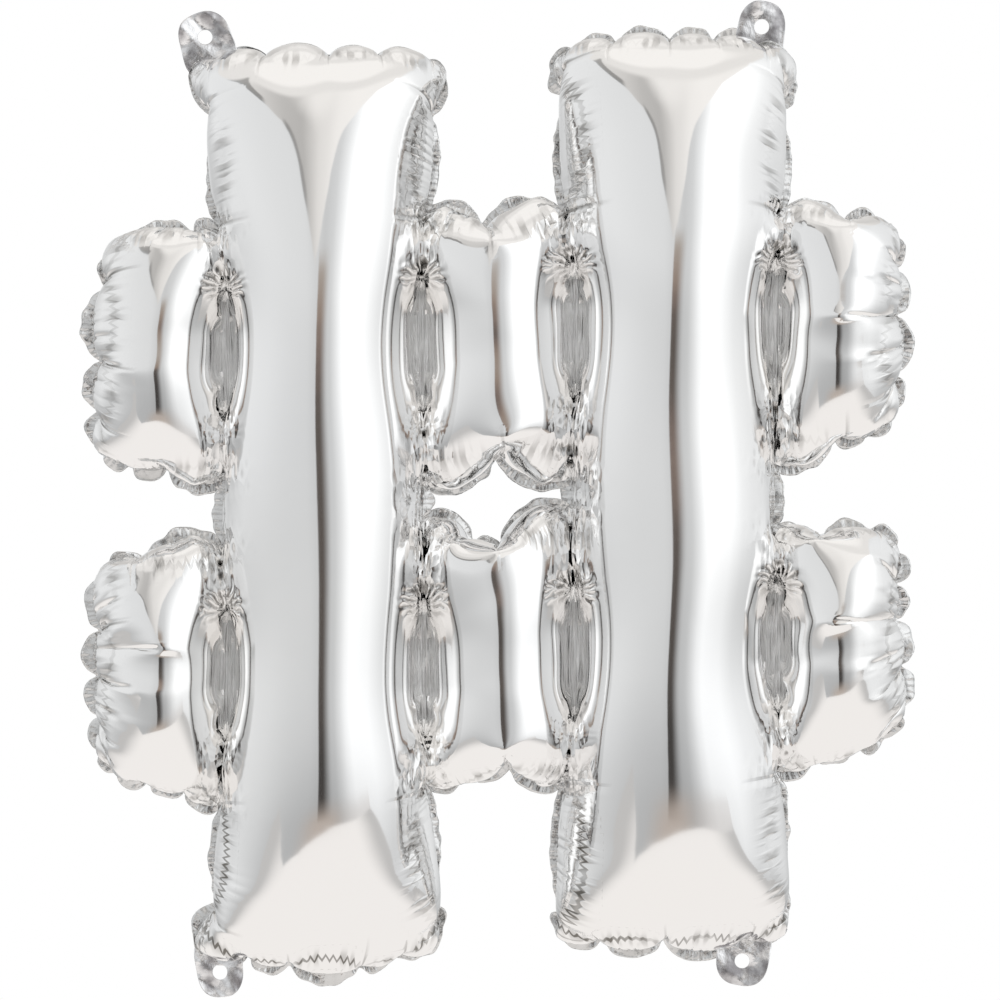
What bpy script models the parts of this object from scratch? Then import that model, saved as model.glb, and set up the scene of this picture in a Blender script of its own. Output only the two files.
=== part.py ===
# Foil balloon in the shape of a hash sign, 40 cm size, filled with air.
# Two sheets of metallised film are heat-sealed round a scalloped outline and along eight
# short lens-shaped welds, and four punched tabs stand out of the seam to hang it by.
# The front faces -Y, +X is to the right as seen from the front, and +Z is up. The origin is
# on the seam's plane, halfway between the two uprights and level with the upper tab holes.
# All sizes below are in millimetres.

import bmesh
import bpy
import numpy as np
from mathutils.geometry import delaunay_2d_cdt

MM = 0.001

GAP = 0.3            # clearance between pieces that touch
WALL = 1.0           # drawn thickness of one sheet of film
SEAM_THICK = 0.8     # drawn thickness of the two sheets where they are welded
SEAM_WIDE = 4.6      # width of the sealed margin outside the welding line
SEAM_LAP = 1.2       # how far the margin reaches in under the rims of the sheets
WINDOW_SEAM = 2.4    # width of the margin inside the middle window
BULGE = 2.3          # how far a scallop stands out of the line through its two cusps
SEAM_BULGE = 1.0     # the same for the margin's own edge
ARC_STEPS = 4        # straight pieces in one scallop
FULLNESS = 0.93      # depth of a long chamber, as a share of its width
MESH_STEP = 11.0     # spacing of the points that carry the inflated surface
ROW_STEP = 9.6       # spacing of their rows
RIM_STEP = 3.2       # distance from the rim of the first ring of those points
CLEAR_OF_RIM = 8.2   # least distance of the other points from a rim
CLEAR_OF_CUT = 4.4   # least distance of the other points from a cut
RING_CLEAR = 2.6     # least distance of a rim's first ring from other rims and cuts
MITRE_LIMIT = 1.6    # how far a sharp corner of the margin may stand out
RISE = 0.03          # the right-hand side hangs higher, by this share of the way across

# The welding line of the right half, from the top middle of the upper bridge round to the
# bottom middle of the lower one. Each row is a cusp at a corner: distance from the middle,
# height, and how many scallops lie between it and the row before.
OUTLINE = [
    # across, height, scallops
    (0.0, -76.4, 0),
    (24.6, -70.2, 1),
    (25.4, -28.9, 2),
    (18.5, -14.4, 1),
    (34.3, -7.8, 1),
    (105.7, -7.8, 4),
    (120.5, -15.6, 1),
    (110.0, -32.8, 1),
    (113.5, -74.1, 2),
    (155.0, -81.1, 3),
    (154.4, -157.2, 4),
    (150.0, -163.8, 1),
    (128.7, -165.4, 1),
    (109.6, -176.3, 1),
    (110.0, -187.6, 1),
    (128.7, -199.3, 1),
    (153.6, -204.4, 2),
    (155.0, -282.4, 3),
    (111.5, -295.6, 3),
    (110.0, -337.7, 2),
    (117.8, -350.2, 1),
    (94.4, -355.7, 1),
    (42.1, -355.7, 2),
    (20.3, -351.0, 1),
    (25.0, -343.2, 1),
    (25.7, -290.6, 2),
    (0.0, -283.1, 2),
]
WINDOW = [
    # across, height, scallops
    (0.0, -161.5, 0),
    (25.4, -174.3, 1),
    (25.7, -188.0, 1),
    (0.0, -201.2, 2),
]

WELD_HALF_LONG = 28.0
WELD_HALF_WIDE = 3.6
WELD_STEPS = 6
WELDS = [
    # name, across, height, joined above to the corner at, joined below to the corner at
    ("outer_upper", 106.9, -118.6, (113.5, -74.1), (109.6, -176.3)),
    ("outer_lower", 106.9, -244.1, (110.0, -187.6), (111.5, -295.6)),
    ("inner_upper", 30.0, -117.0, (24.6, -70.2), (25.4, -174.3)),
    ("inner_lower", 29.3, -245.3, (25.7, -188.0), (25.7, -290.6)),
]

CHAMBERS = [
    # name, across and height of a point well inside it
    ("left_upright", -68.0, -180.0),
    ("right_upright", 68.0, -180.0),
    ("upper_left_arm", -130.0, -120.0),
    ("lower_left_arm", -130.0, -243.0),
    ("upper_right_arm", 130.0, -120.0),
    ("lower_right_arm", 130.0, -243.0),
    ("upper_bridge", 0.0, -118.0),
    ("lower_bridge", 0.0, -243.0),
]

# Stretches of the sealed margin, from one corner of the half outline to another.
SEAMS = [
    # name, first row, last row
    ("upright_top", 1, 8),
    ("upper_arm", 8, 13),
    ("gap", 13, 14),
    ("lower_arm", 14, 18),
    ("upright_bottom", 18, 25),
]

TAB_WIDE = 20.0
TAB_ROUND = 4.0
TAB_HOLE = 6.0       # across the punched hole
TAB_REACH = 8.4      # from the hole's middle to the tab's tip
TAB_THICK = 0.8
TAB_FOOT_POINTS = 7
TAB_ROUND_POINTS = 5
HOLE_POINTS = 24
FOOT_RANGE = 13.0    # how far from the hole the margin's edge may lie
TABS = [
    # name, across, height of the hole, +1 above the balloon or -1 below it
    ("upper_left_tab", -112.5, 1.5, 1),
    ("upper_right_tab", 104.5, 3.0, 1),
    ("lower_left_tab", -108.0, -366.5, -1),
    ("lower_right_tab", 97.0, -366.5, -1),
]

FINISHES = {
    # colour, roughness, metallic
    "foil": ((0.86, 0.87, 0.88), 0.12, 1.0),
    "seam": ((0.62, 0.63, 0.65), 0.35, 1.0),
    "tab": ((0.70, 0.71, 0.73), 0.28, 1.0),
}


def clear_scene():
    for old in list(bpy.data.objects):
        bpy.data.objects.remove(old)


def finish(name, kind):
    """A metallic material of its own for one piece."""
    colour, roughness, metallic = FINISHES[kind]
    material = bpy.data.materials.new(name)
    material.use_nodes = True
    shader = material.node_tree.nodes["Principled BSDF"]
    shader.inputs["Base Color"].default_value = (*colour, 1.0)
    shader.inputs["Roughness"].default_value = roughness
    shader.inputs["Metallic"].default_value = metallic
    return material


def raised(points):
    """Points of the level pattern after the right-hand side is lifted."""
    lifted = np.array(points, float)
    lifted[:, 1] += RISE * lifted[:, 0]
    return lifted


def scallops(start, end, count, bulge):
    """Points from start up to but not including end, along that many shallow arcs that
    bulge to the left of the way from start to end."""
    along = np.arange(count * ARC_STEPS) / ARC_STEPS
    way = (end - start) / count
    normal = np.array([-way[1], way[0]]) / np.hypot(*way)
    height = bulge * 4 * (along % 1) * (1 - along % 1)
    return start + along[:, None] * way + height[:, None] * normal


def corners_of(half):
    """The whole ring of corners from its right half, and the scallops that follow each."""
    right = [(across, height) for across, height, _ in half]
    left = [(-across, height) for across, height, _ in half[1:-1]]
    counts = [row[2] for row in half[1:]]
    # The ring runs down the right side and back up the left one.
    ring = raised(right + left[::-1])
    return ring, counts + counts[::-1]


def ring_of(corners, counts, bulge):
    """The scalloped ring through the corners, and the place of each corner in it."""
    parts = [
        scallops(corners[i], corners[(i + 1) % len(corners)], count, bulge)
        for i, count in enumerate(counts)
    ]
    places = np.cumsum([0] + [len(part) for part in parts[:-1]])
    return np.vstack(parts), places


def moved_out(corners, distance):
    """The corners with each side moved to its left by this distance."""
    way = np.roll(corners, -1, axis=0) - corners
    normal = np.stack([-way[:, 1], way[:, 0]], axis=1) / np.hypot(*way.T)[:, None]
    before = np.roll(normal, 1, axis=0)
    mitre = (before + normal) / (1 + (before * normal).sum(axis=1))[:, None]
    length = np.hypot(*mitre.T)[:, None]
    return corners + distance * mitre * np.minimum(1, MITRE_LIMIT / length)


def weld_ring(across, height):
    """A lens with two pointed ends, as a ring that starts at its upper point."""
    turn = np.arange(2 * WELD_STEPS) / WELD_STEPS * np.pi
    wide = WELD_HALF_WIDE * np.sin(turn)
    long = WELD_HALF_LONG * np.cos(turn)
    return raised(np.stack([across - wide, height + long], axis=1))


def inside(points, ring):
    """Which points lie inside a closed ring, by counting the sides that each one's
    level crosses to its right."""
    x, z = points[:, 0, None], points[:, 1, None]
    ends = np.roll(ring, -1, axis=0)
    crosses = (ring[:, 1] > z) != (ends[:, 1] > z)
    rise = np.where(ends[:, 1] == ring[:, 1], 1, ends[:, 1] - ring[:, 1])
    at = ring[:, 0] + (z - ring[:, 1]) / rise * (ends[:, 0] - ring[:, 0])
    return (crosses & (x < at)).sum(axis=1) % 2 == 1


def distance_to(points, ring):
    """Each point's distance from the nearest side of a closed ring."""
    ends = np.roll(ring, -1, axis=0)
    side = ends - ring
    offset = points[:, None] - ring
    share = np.clip((offset * side).sum(axis=2) / (side**2).sum(axis=1), 0, 1)
    return np.hypot(*np.moveaxis(offset - share[..., None] * side, 2, 0)).min(axis=1)


def film_pattern():
    """The flat sheet as triangles: points, faces, which points are welded, and the cuts
    that part the chambers, each as two ends."""
    outer, _ = ring_of(*corners_of(OUTLINE), BULGE)
    # The window's ring runs the other way round, so that its scallops bulge into it.
    hole_corners, hole_counts = corners_of(WINDOW)
    hole_corners = np.roll(hole_corners[::-1], 1, axis=0)
    window, _ = ring_of(hole_corners, hole_counts[::-1], BULGE)
    lenses, cuts = [], []
    for _, across, height, above, below in WELDS:
        for side in (-1, 1):
            ring = weld_ring(side * across, height)
            lenses.append(ring)
            ends = raised([(side * above[0], above[1]), (side * below[0], below[1])])
            cuts.append((ends[0], ring[0]))
            cuts.append((ring[WELD_STEPS], ends[1]))
    rings = [outer, window] + lenses

    low, high = outer.min(axis=0), outer.max(axis=0)
    rows = np.arange(low[1], high[1], ROW_STEP)
    columns = np.arange(low[0], high[0], MESH_STEP)
    x, z = np.meshgrid(columns, rows)
    x = x + (np.arange(len(rows)) % 2)[:, None] * MESH_STEP / 2
    loose = np.stack([x.ravel(), z.ravel()], axis=1)
    loose = loose[inside(loose, outer) & ~inside(loose, window)]
    for ring in rings:
        loose = loose[distance_to(loose, ring) > CLEAR_OF_RIM]
    for lens in lenses:
        loose = loose[~inside(loose, lens)]
    for start, end in cuts:
        loose = loose[distance_to(loose, np.array([start, end])) > CLEAR_OF_CUT]

    points, edges = [], []
    for ring in rings:
        first = len(points)
        points.extend(ring)
        count = len(ring)
        edges.extend((first + i, first + (i + 1) % count) for i in range(count))
    rim_count = len(points)
    for ring in rings:
        inner = rim_follower(ring, rings, cuts)
        points.extend(inner)
    for start, end in cuts:
        steps = max(2, round(float(np.hypot(*(end - start))) / MESH_STEP))
        chain = [start + (end - start) * i / steps for i in range(steps + 1)]
        ids = [nearest(points[:rim_count], chain[0])]
        for point in chain[1:-1]:
            ids.append(len(points))
            points.append(point)
        ids.append(nearest(points[:rim_count], chain[-1]))
        edges.extend(zip(ids[:-1], ids[1:]))
    points.extend(loose)

    flat, _, faces, *_ = delaunay_2d_cdt([tuple(p) for p in points], edges, [], 0, 1e-5)
    flat = np.array([tuple(p) for p in flat])
    faces = np.array([tuple(f) for f in faces])
    middle = flat[faces].mean(axis=1)
    kept = inside(middle, outer) & ~inside(middle, window)
    for lens in lenses:
        kept &= ~inside(middle, lens)
    welded = np.min([distance_to(flat, ring) for ring in rings], axis=0) < 1e-3
    return flat, faces[kept], welded, cuts


def nearest(points, wanted):
    return int(np.argmin(np.hypot(*(np.array(points) - wanted).T)))


def rim_follower(ring, rings, cuts):
    """Points a short way in from every other point of a ring, clear of the others."""
    way = np.roll(ring, -1, axis=0) - np.roll(ring, 1, axis=0)
    normal = np.stack([-way[:, 1], way[:, 0]], axis=1) / np.hypot(*way.T)[:, None]
    found = np.vstack([ring - RIM_STEP * normal, ring + RIM_STEP * normal])[::2]
    outer, window, *lenses = rings
    found = found[inside(found, outer) & ~inside(found, window)]
    for other in rings:
        found = found[distance_to(found, other) > RING_CLEAR]
    for lens in lenses:
        found = found[~inside(found, lens)]
    for start, end in cuts:
        found = found[distance_to(found, np.array([start, end])) > RING_CLEAR]
    return found


def inflated(flat, faces, welded):
    """How far each point of the sheet stands out of the seam's plane. An even load on a
    stretched skin gives a bowl, and its square root makes a long chamber round."""
    corners = flat[faces]
    stiffness = np.zeros((len(flat), len(flat)))
    load = np.zeros(len(flat))
    side = [corners[:, (k + 2) % 3] - corners[:, (k + 1) % 3] for k in range(3)]
    twice = np.abs(side[0][:, 0] * side[1][:, 1] - side[0][:, 1] * side[1][:, 0])
    for a in range(3):
        np.add.at(load, faces[:, a], twice / 6)
        for b in range(3):
            pull = (side[a] * side[b]).sum(axis=1) / (2 * twice)
            np.add.at(stiffness, (faces[:, a], faces[:, b]), pull)
    free = np.setdiff1d(np.unique(faces), np.flatnonzero(welded))
    bowl = np.zeros(len(flat))
    bowl[free] = np.linalg.solve(stiffness[np.ix_(free, free)], load[free])
    return FULLNESS * np.sqrt(2 * np.maximum(bowl, 0))


def chamber_faces(flat, faces, cuts, seed):
    """The faces that can be reached from the seed's without crossing a cut."""
    edge_faces = {}
    for number, face in enumerate(faces):
        for k in range(3):
            pair = tuple(sorted((int(face[k]), int(face[(k + 1) % 3]))))
            edge_faces.setdefault(pair, []).append(number)
    on_cut = np.array([
        distance_to(flat, np.array([start, end])) < 1e-3 for start, end in cuts
    ])
    middle = flat[faces].mean(axis=1)
    wanted = [int(np.argmin(np.hypot(*(middle - seed).T)))]
    found = set(wanted)
    while wanted:
        face = faces[wanted.pop()]
        for k in range(3):
            a, b = int(face[k]), int(face[(k + 1) % 3])
            if (on_cut[:, a] & on_cut[:, b]).any():
                continue
            for other in edge_faces[tuple(sorted((a, b)))]:
                if other not in found:
                    found.add(other)
                    wanted.append(other)
    return np.array(sorted(found)), on_cut


def shell_mesh(name, flat, faces, height, welded, cuts, on_cut, facing):
    """One chamber's sheet as a thin bowl. Its wall stays on its own side of each cut, and
    its rim lies flat against the seam."""
    used, faces = np.unique(faces, return_inverse=True)
    faces = faces.reshape(-1, 3)
    plan, rise = flat[used], height[used]
    outside = np.stack([plan[:, 0], -rise, plan[:, 1]], axis=1)
    corners = outside[faces]
    normals = np.cross(corners[:, 1] - corners[:, 0], corners[:, 2] - corners[:, 0])
    turned = normals[:, 1] > 0
    faces[turned] = faces[turned][:, ::-1]
    normals[turned] *= -1
    way = np.zeros_like(outside)
    for k in range(3):
        np.add.at(way, faces[:, k], normals)
    way /= np.linalg.norm(way, axis=1)[:, None]

    rim = welded[used]
    way[rim, 1] = 0
    middle = plan.mean(axis=0)
    shift = np.zeros_like(plan)
    for number, (start, end) in enumerate(cuts):
        here = on_cut[number][used]
        along = (end - start) / np.hypot(*(end - start))
        across = np.array([-along[1], along[0]])
        if (middle - start) @ across < 0:
            across = -across
        flatways = way[:, [0, 2]]
        keep = flatways - (flatways @ across)[:, None] * across
        way[here, 0] = keep[here, 0]
        way[here, 2] = keep[here, 1]
        shift[here] = across * GAP / 2
    length = np.linalg.norm(way, axis=1)
    way /= np.where(length > 1e-6, length, 1)[:, None]
    outside[:, [0, 2]] += shift
    inner_side = outside - WALL * way
    inner_side[:, 1] = np.minimum(inner_side[:, 1], 0)

    count = len(used)
    ends = np.concatenate([faces[:, [0, 1]], faces[:, [1, 2]], faces[:, [2, 0]]])
    pairs = {tuple(pair) for pair in ends.tolist()}
    open_edges = [(a, b) for a, b in pairs if (b, a) not in pairs]
    wall = [(b, a, a + count) for a, b in open_edges]
    wall += [(b, a + count, b + count) for a, b in open_edges]
    points = np.vstack([outside, inner_side])
    points[:, 1] -= SEAM_THICK / 2 + GAP
    points[:, 1] *= -facing
    triangles = np.vstack([faces, faces[:, ::-1] + count, np.array(sorted(wall))])
    if facing > 0:
        triangles = triangles[:, ::-1]
    mesh = bpy.data.meshes.new(name)
    mesh.from_pydata((points * MM).tolist(), [], triangles.tolist())
    mesh.update()
    mesh.shade_smooth()
    return mesh


def flat_piece(name, rings, thick, collection, kind):
    """A flat plate in the seam's plane, from its outer ring and the holes in it."""
    curve = bpy.data.curves.new(name, "CURVE")
    curve.dimensions = "2D"
    curve.fill_mode = "BOTH"
    curve.extrude = thick / 2 * MM
    for ring in rings:
        spline = curve.splines.new("POLY")
        spline.points.add(len(ring) - 1)
        for point, (x, z) in zip(spline.points, ring):
            point.co = (x * MM, z * MM, 0, 1)
        spline.use_cyclic_u = True
    drawn = bpy.data.objects.new(name + "_drawn", curve)
    collection.objects.link(drawn)
    graph = bpy.context.evaluated_depsgraph_get()
    mesh = bpy.data.meshes.new_from_object(drawn.evaluated_get(graph))
    bpy.data.objects.remove(drawn)
    shape = bmesh.new()
    shape.from_mesh(mesh)
    bmesh.ops.remove_doubles(shape, verts=shape.verts, dist=0.001 * MM)
    bmesh.ops.recalc_face_normals(shape, faces=shape.faces)
    shape.to_mesh(mesh)
    shape.free()
    mesh.name = name
    mesh.materials.clear()
    mesh.materials.append(finish(name, kind))
    piece = bpy.data.objects.new(name, mesh)
    piece.rotation_euler.x = np.pi / 2
    collection.objects.link(piece)
    return piece


def add_sheets(collection):
    flat, faces, welded, cuts = film_pattern()
    height = inflated(flat, faces, welded)
    for name, across, level in CHAMBERS:
        seed = raised([(across, level)])[0]
        mine, on_cut = chamber_faces(flat, faces, cuts, seed)
        for side, facing in (("front", -1), ("back", 1)):
            title = f"{name}_{side}"
            mesh = shell_mesh(
                title, flat, faces[mine], height, welded, cuts, on_cut, facing
            )
            piece = bpy.data.objects.new(title, mesh)
            mesh.materials.append(finish(title, "foil"))
            collection.objects.link(piece)


def margin_rings(half, wide, turn):
    """The inner and outer edges of the sealed margin along a half outline's whole ring."""
    corners, counts = corners_of(half)
    if turn:
        corners = np.roll(corners[::-1], 1, axis=0)
        counts = counts[::-1]
    inner, places = ring_of(moved_out(corners, -SEAM_LAP), counts, BULGE)
    outer, _ = ring_of(moved_out(corners, wide), counts, SEAM_BULGE)
    return inner, outer, places


def stretch(ring, first, last):
    """The ring's points from first to last, going on past its start where needed."""
    count = (last - first) % len(ring)
    return ring[(first + np.arange(count + 1)) % len(ring)]


def trimmed(points, amount):
    """A run of points with its two end sides shortened by this amount."""
    points = points.copy()
    for end, inward in ((0, 1), (-1, -2)):
        way = points[inward] - points[end]
        points[end] += way / np.hypot(*way) * amount
    return points


def margin_piece(name, rings, first, last, collection):
    """One stretch of the sealed margin, as a plate between its two edges."""
    inner, outer, _ = rings
    near = trimmed(stretch(inner, first, last), GAP / 2)
    far = trimmed(stretch(outer, first, last), GAP / 2)
    flat_piece(name, [np.vstack([near, far[::-1]])], SEAM_THICK, collection, "seam")


def add_seams(collection):
    rings = margin_rings(OUTLINE, SEAM_WIDE, False)
    places = rings[2]
    rows = len(OUTLINE)
    whole = len(places)
    for title, first, last in SEAMS:
        margin_piece(f"seam_right_{title}", rings, places[first], places[last], collection)
        start, end = places[whole - last], places[whole - first]
        margin_piece(f"seam_left_{title}", rings, start, end, collection)
    margin_piece("seam_upper_bridge", rings, places[whole - 1], places[1], collection)
    margin_piece("seam_lower_bridge", rings, places[rows - 2], places[rows], collection)

    window = margin_rings(WINDOW, WINDOW_SEAM, True)
    places = window[2]
    # The window's corners run from its top down the left side and back up the right one.
    parts = {"top": (5, 1), "left": (1, 2), "bottom": (2, 4), "right": (4, 5)}
    for title, (first, last) in parts.items():
        margin_piece(
            f"seam_window_{title}", window, places[first], places[last], collection
        )


def add_welds(collection):
    for title, across, height, _, _ in WELDS:
        for side, word in ((-1, "left"), (1, "right")):
            ring = weld_ring(side * across, height)
            middle = ring.mean(axis=0)
            ring = middle + (ring - middle) * (1 + GAP / WELD_HALF_WIDE)
            flat_piece(f"weld_{word}_{title}", [ring], SEAM_THICK, collection, "seam")


def add_tabs(collection):
    _, edge, _ = margin_rings(OUTLINE, SEAM_WIDE, False)
    turn = np.arange(HOLE_POINTS) / HOLE_POINTS * 2 * np.pi
    circle = np.stack([np.cos(turn), np.sin(turn)], axis=1)
    for name, across, height, up in TABS:
        hole = raised([(across, height)])[0]
        near = np.abs(edge[:, 0] - hole[0]) < TAB_WIDE
        near &= np.abs(edge[:, 1] - hole[1]) < FOOT_RANGE
        run = edge[near][np.argsort(edge[near][:, 0])]
        x = hole[0] + np.linspace(-0.5, 0.5, TAB_FOOT_POINTS) * TAB_WIDE
        foot = np.stack([x, np.interp(x, run[:, 0], run[:, 1]) + up * GAP], axis=1)
        bend = np.linspace(0, np.pi / 2, TAB_ROUND_POINTS)
        corner = np.stack([np.sin(bend), np.cos(bend)], axis=1) * TAB_ROUND
        right = corner[::-1] * (1, up)
        right += hole + (TAB_WIDE / 2 - TAB_ROUND, up * (TAB_REACH - TAB_ROUND))
        left = corner * (-1, up)
        left += hole + (TAB_ROUND - TAB_WIDE / 2, up * (TAB_REACH - TAB_ROUND))
        ring = np.vstack([foot, right, left])
        rings = [ring, hole + circle * TAB_HOLE / 2]
        flat_piece(name, rings, TAB_THICK, collection, "tab")


def main():
    clear_scene()
    collection = bpy.data.collections.new("Foil balloon")
    bpy.context.scene.collection.children.link(collection)
    add_sheets(collection)
    add_seams(collection)
    add_welds(collection)
    add_tabs(collection)


main()
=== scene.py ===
import math
import bpy
import numpy as np
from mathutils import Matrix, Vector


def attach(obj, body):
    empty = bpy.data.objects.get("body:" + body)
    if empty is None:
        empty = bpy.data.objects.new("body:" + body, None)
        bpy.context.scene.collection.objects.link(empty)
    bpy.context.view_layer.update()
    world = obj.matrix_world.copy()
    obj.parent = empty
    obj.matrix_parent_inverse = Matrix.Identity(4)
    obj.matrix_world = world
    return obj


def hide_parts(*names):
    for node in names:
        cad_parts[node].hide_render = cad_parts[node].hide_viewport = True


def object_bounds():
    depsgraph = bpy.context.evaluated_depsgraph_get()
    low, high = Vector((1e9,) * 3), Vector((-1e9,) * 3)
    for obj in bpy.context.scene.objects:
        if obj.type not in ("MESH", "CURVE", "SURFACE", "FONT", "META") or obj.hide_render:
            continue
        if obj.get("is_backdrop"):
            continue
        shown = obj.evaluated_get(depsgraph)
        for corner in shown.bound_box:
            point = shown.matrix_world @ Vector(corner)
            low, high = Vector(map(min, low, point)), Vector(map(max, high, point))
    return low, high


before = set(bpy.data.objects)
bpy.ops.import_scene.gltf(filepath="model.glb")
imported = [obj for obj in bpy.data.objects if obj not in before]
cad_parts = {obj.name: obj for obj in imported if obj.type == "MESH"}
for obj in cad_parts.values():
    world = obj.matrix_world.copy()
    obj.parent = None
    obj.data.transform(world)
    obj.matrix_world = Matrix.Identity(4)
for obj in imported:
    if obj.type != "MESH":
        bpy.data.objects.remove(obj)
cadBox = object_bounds()
nodeNames = sorted(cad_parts)
scene = bpy.context.scene
scene.view_settings.view_transform = "Standard"

# All shapes below are worked out in millimetres about the middle of the balloon, then set down in the frame.
placing = {"drop": -182.0, "toMetres": 0.001}


# The sheet is laid out on an even grid whose lines fall on the corners of the cut: the uprights stand between 40 and
# 160 either side, the bars between 8 and 112 above and below. `flatCut` says how wide each part of the real film is.
cutLines = {
    "innerSide": 40.0, "outerSide": 160.0, "armEnd": 224.0, "gapEdge": 8.0, "barEdge": 112.0, "top": 192.0,
    "uprightMiddle": 100.0, "uprightHalf": 60.0, "barMiddle": 60.0, "barHalf": 52.0,
}
flatCut = {
    "innerSide": 41.0,  # half the gap between the uprights
    "uprightWide": 122.0,
    "armEnd": 236.0,
    "gapEdge": (7.0, 13.5),  # half the gap between the bars, at the window and at the outer side
    "barEdge": 114.0,
    "top": 196.0,
    "topCorners": 14.0,  # how far the corners of an upright's end are cut back
    "topNarrowing": 0.01,  # share by which an upright's end narrows
    "armCorners": 8.0,
    "armSlope": 2.5,
    "barSlack": 10.0,  # extra film above and below in the bars, clear of the uprights
    "slackFade": (16.0, 14.0),  # how far out of an upright it comes in, in the arms and in the bridges
    "barsBelow": 125.0,  # height under which the bars are shaped
    "weldHalfWide": 3.3,
    "weldHalfTall": 28.0,
    "weldHeight": 63.5,
    "weldGather": (0.9, 0.98),  # what is left of a weld's width and height once the film is blown
}

# Where each scallop of the sealed edge meets the next: the corner of the cut that a run starts from, then the meeting
# points along it. Measures of the blown balloon, clockwise from the top left.
outerEdge = [
    ((-160, 192), [(-120, 165), (-108, 170.5), (-89.5, 172), (-65.5, 172), (-47, 172), (-28, 170.5)]),
    ((-40, 192), [(-20.5, 165), (-26.5, 149)]),
    ((-40, 112), [(-28.5, 111)]),
    ((0, 112), [(-6, 103)]),
    ((40, 112), [(25.5, 111), (30, 158)]),
    ((40, 192), [(22, 166.5), (31, 174), (47, 176), (67.5, 177.5), (84, 177.5), (100, 176)]),
    ((160, 192), [(115.5, 163.5), (108, 150.5)]),
    ((160, 112), [(111, 110), (134.5, 105.5), (149, 105.5)]),
    ((224, 112), [(151.5, 102), (153.5, 89), (154, 71.5), (153.5, 49)]),
    ((224, 8), [(151, 35), (143.5, 26), (130.5, 27)]),
    ((160, 8), [(106.5, 14.5)]),
    ((160, -8), [(107, -17.5), (127, -19.5), (145, -13.5)]),
    ((224, -8), [(154.5, -21), (153.5, -33.5), (153.5, -47.5), (156, -65)]),
    ((224, -112), [(154.5, -82), (149.5, -92), (138.5, -93.5), (121.5, -98.5)]),
    ((160, -112), [(108, -106.5), (107.5, -152.5)]),
    ((160, -192), [(112.5, -161), (93, -170), (64.5, -170.5), (41.5, -169.5)]),
    ((40, -192), [(23.5, -166), (27.5, -161.5)]),
    ((40, -112), [(25.5, -111.5)]),
    ((0, -112), [(5.5, -98.5), (-13.5, -105.5)]),
    ((-40, -112), [(-28.5, -109.5), (-28, -158.5)]),
    ((-40, -192), [(-22, -166.5), (-42.5, -175), (-54, -181), (-80.5, -180), (-96, -176)]),
    ((-160, -192), [(-117.5, -171), (-107, -157.5)]),
    ((-160, -112), [(-107, -120.5), (-120.5, -111.5), (-135, -108), (-147.5, -105.5)]),
    ((-224, -112), [(-152.5, -98), (-153, -84.5), (-154.5, -69), (-153.5, -51.5)]),
    ((-224, -8), [(-151, -30), (-136.5, -25.5)]),
    ((-160, -8), [(-107, -18.5)]),
    ((-160, 8), [(-105.5, 8), (-128, 13.5), (-142, 14.5)]),
    ((-224, 8), [(-152, 20), (-154, 34.5), (-153, 53.5), (-151.5, 81.5)]),
    ((-224, 112), [(-142.5, 97.5), (-118, 101)]),
    ((-160, 112), [(-108, 105), (-106.5, 148)]),
]
windowEdge = [
    ((-40, 8), [(-29.5, 5)]),
    ((0, 8), [(-1, 23)]),
    ((40, 8), [(29.5, 7.5)]),
    ((40, -8), [(29.5, -2.5), (2.5, -22.5), (-11, -21)]),
    ((-40, -8), [(-29.5, -6.5)]),
]
# The eight lens welds: side, height, whether on an upright's outer edge, and where the middle lies once blown.
lensWelds = [
    ((-1, 1, 1), (-105.3, 57.2)), ((-1, 1, 0), (-29.2, 61.0)), ((1, 1, 0), (30.8, 65.5)),
    ((1, 1, 1), (108.4, 67.5)), ((-1, -1, 1), (-104.9, -67.6)), ((-1, -1, 0), (-28.5, -66.0)),
    ((1, -1, 0), (30.4, -61.0)), ((1, -1, 1), (109.2, -56.7)),
]


# True inside the hash sign of the cut grown by `margin`: two uprights and two bars, joined.
def hashShape(x, z, margin):
    across, up = np.abs(x), np.abs(z)
    c = cutLines
    upright = (across <= c["outerSide"] + margin) & (across >= c["innerSide"] - margin) & (up <= c["top"] + margin)
    bar = (up <= c["barEdge"] + margin) & (up >= c["gapEdge"] - margin) & (across <= c["armEnd"] + margin)
    return upright | bar


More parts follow.
